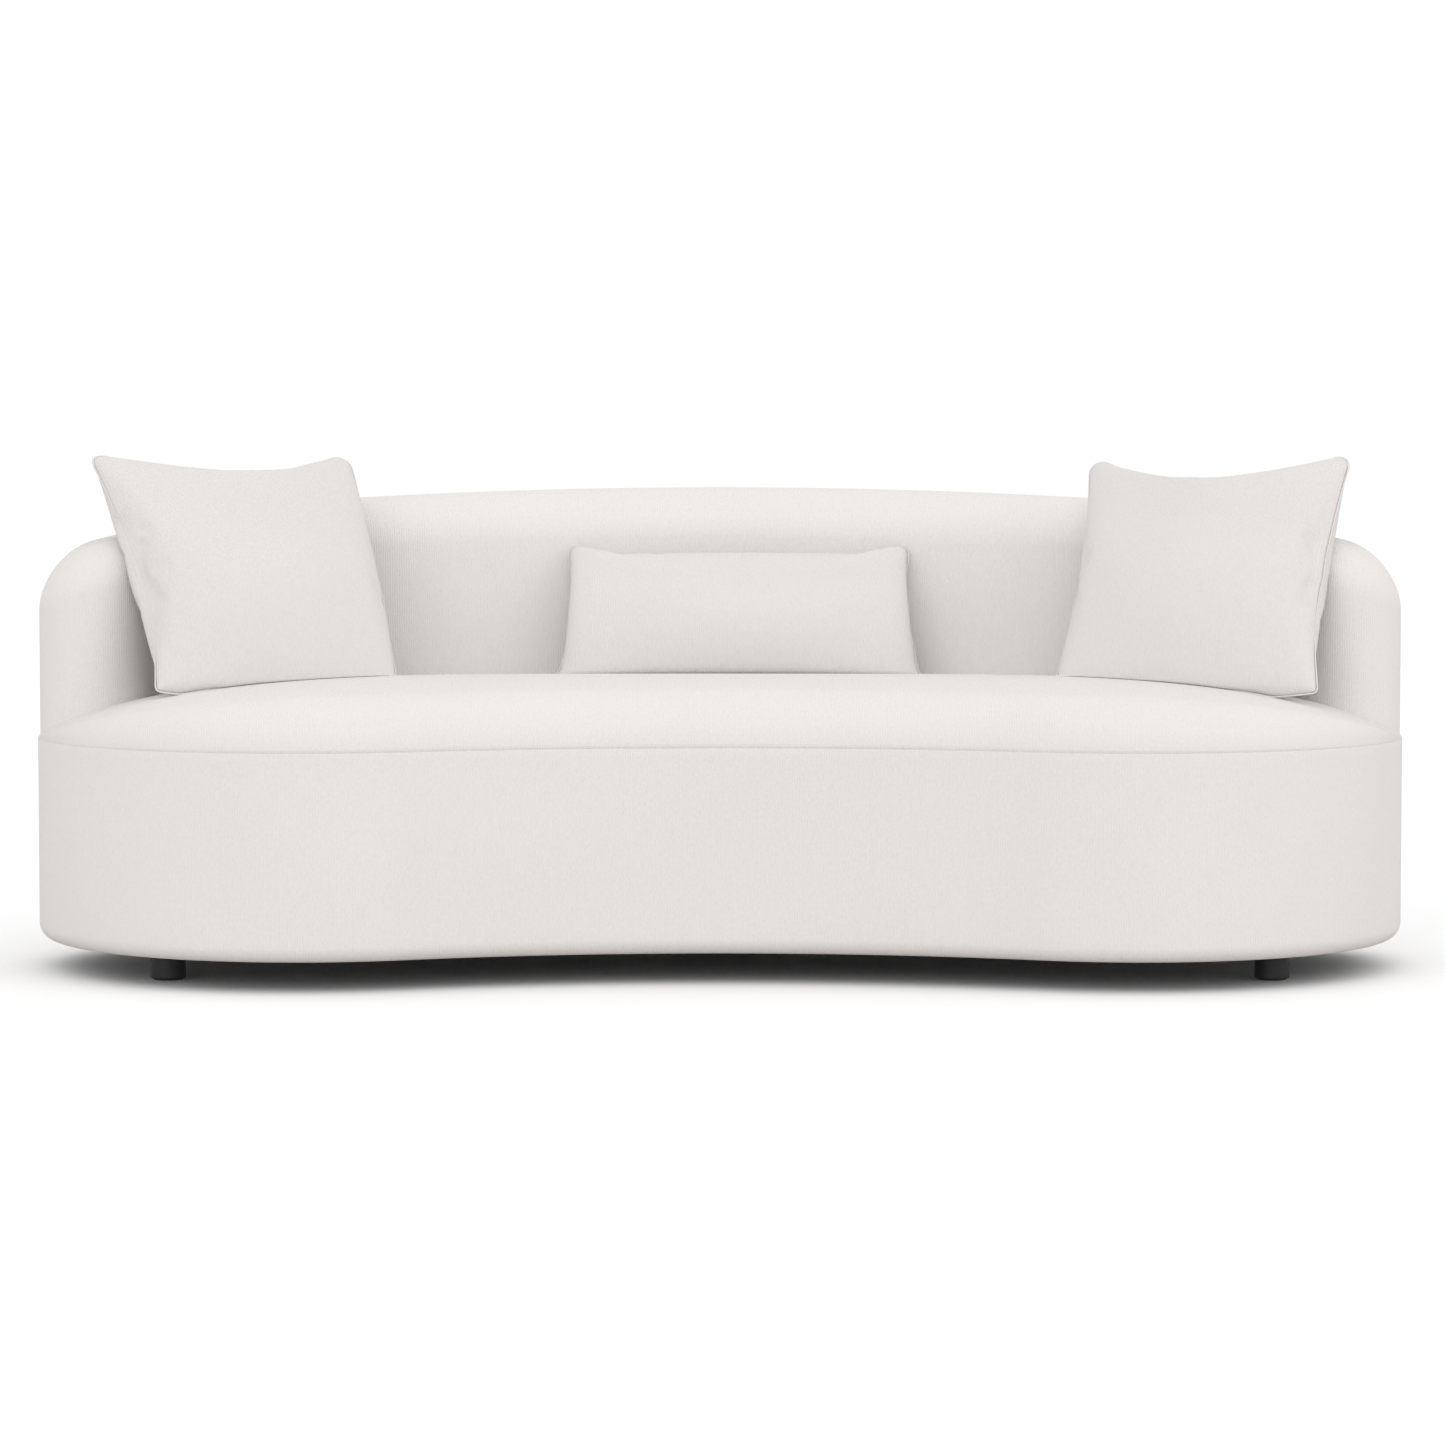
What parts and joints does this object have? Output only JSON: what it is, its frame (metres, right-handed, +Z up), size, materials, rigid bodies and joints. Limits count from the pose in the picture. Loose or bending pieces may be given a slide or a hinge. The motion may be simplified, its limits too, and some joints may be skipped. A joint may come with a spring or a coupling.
{
  "type": "curved sofa",
  "caption": "Low curved upholstered sofa: kidney-shaped base on short round feet, wrap-around back rolling into the arms, tight crowned seat and loose pillows.",
  "frame": {"origin": "floor level under the middle of the sofa's plan box", "axes": "+X along the sofa, -Y its front, +Z up from the floor"},
  "size_m": [2.3, 0.9501, 0.8541],
  "materials": {
    "cover_fabric": "off-white woven upholstery with a fine vertical rib",
    "foam": "open-cell foam and fibre wadding",
    "timber": "plain sawn timber and plywood",
    "fibreboard": "bent hardboard",
    "steel": "zinc-plated steel and spring wire",
    "foot_black": "matt black moulded foot",
    "glide_felt": "dark glide pad",
    "webbing": "woven webbing and needled felt",
    "dust_cloth": "black spunbonded dust cloth"
  },
  "bodies": {
    "sofa": {"back_foam": "foam", "back_posts": "timber", "back_webbing_1": "webbing", "back_webbing_2": "webbing", "back_webbing_3": "webbing", "base_rail_centre": "timber", "base_rail_left": "timber", "base_rail_right": "timber", "base_ring": "timber", "base_studs": "timber", "dust_cover": "dust_cloth", "foot_nuts": "steel", "front_border_board": "fibreboard", "front_border_cover": "cover_fabric", "front_border_padding": "foam", "inside_back_cover": "cover_fabric", "outside_back_board": "fibreboard", "outside_back_cover": "cover_fabric", "outside_back_padding": "foam", "rail_plates": "steel", "seat_base_foam": "foam", "seat_cover": "cover_fabric", "seat_foam": "foam", "seat_ring": "timber", "seat_spring_1": "steel", "seat_spring_2": "steel", "seat_spring_3": "steel", "seat_spring_4": "steel", "seat_spring_5": "steel", "seat_spring_6": "steel", "seat_spring_7": "steel", "spring_clips": "steel", "spring_felt": "webbing", "top_rail": "timber"},
    "left_pillow": {"left_pillow_back_panel": "cover_fabric", "left_pillow_filling": "foam", "left_pillow_front_panel": "cover_fabric"},
    "right_pillow": {"right_pillow_back_panel": "cover_fabric", "right_pillow_filling": "foam", "right_pillow_front_panel": "cover_fabric"},
    "long_pillow": {"long_pillow_back_panel": "cover_fabric", "long_pillow_filling": "foam", "long_pillow_front_panel": "cover_fabric"},
    "foot_front_left": {"foot_bolt_front_left": "steel", "foot_front_left": "foot_black", "foot_glide_front_left": "glide_felt"},
    "foot_front_right": {"foot_bolt_front_right": "steel", "foot_front_right": "foot_black", "foot_glide_front_right": "glide_felt"},
    "foot_rear_left": {"foot_bolt_rear_left": "steel", "foot_glide_rear_left": "glide_felt", "foot_rear_left": "foot_black"},
    "foot_rear_right": {"foot_bolt_rear_right": "steel", "foot_glide_rear_right": "glide_felt", "foot_rear_right": "foot_black"},
    "foot_centre": {"foot_bolt_centre": "steel", "foot_centre": "foot_black", "foot_glide_centre": "glide_felt"}
  },
  "joints": [
    {"name": "left_pillow_lift", "type": "slide", "parent": "sofa", "child": "left_pillow", "axis": [0, -0.5, 0.866], "range_m": [0, 0.5]},
    {"name": "right_pillow_lift", "type": "slide", "parent": "sofa", "child": "right_pillow", "axis": [0, -0.5, 0.866], "range_m": [0, 0.5]},
    {"name": "long_pillow_lift", "type": "slide", "parent": "sofa", "child": "long_pillow", "axis": [0, -0.5, 0.866], "range_m": [0, 0.5]},
    {"name": "foot_front_left_screw", "type": "hinge", "parent": "sofa", "child": "foot_front_left", "pos_m": [-0.90811, -0.25306, 0], "axis": [0, 0, 1], "continuous": true},
    {"name": "foot_front_right_screw", "type": "hinge", "parent": "sofa", "child": "foot_front_right", "pos_m": [0.90811, -0.25306, 0], "axis": [0, 0, 1], "continuous": true},
    {"name": "foot_rear_left_screw", "type": "hinge", "parent": "sofa", "child": "foot_rear_left", "pos_m": [-0.92873, 0.16456, 0], "axis": [0, 0, 1], "continuous": true},
    {"name": "foot_rear_right_screw", "type": "hinge", "parent": "sofa", "child": "foot_rear_right", "pos_m": [0.92873, 0.16456, 0], "axis": [0, 0, 1], "continuous": true},
    {"name": "foot_centre_screw", "type": "hinge", "parent": "sofa", "child": "foot_centre", "pos_m": [0, 0.2, 0], "axis": [0, 0, 1], "continuous": true}
  ]
}
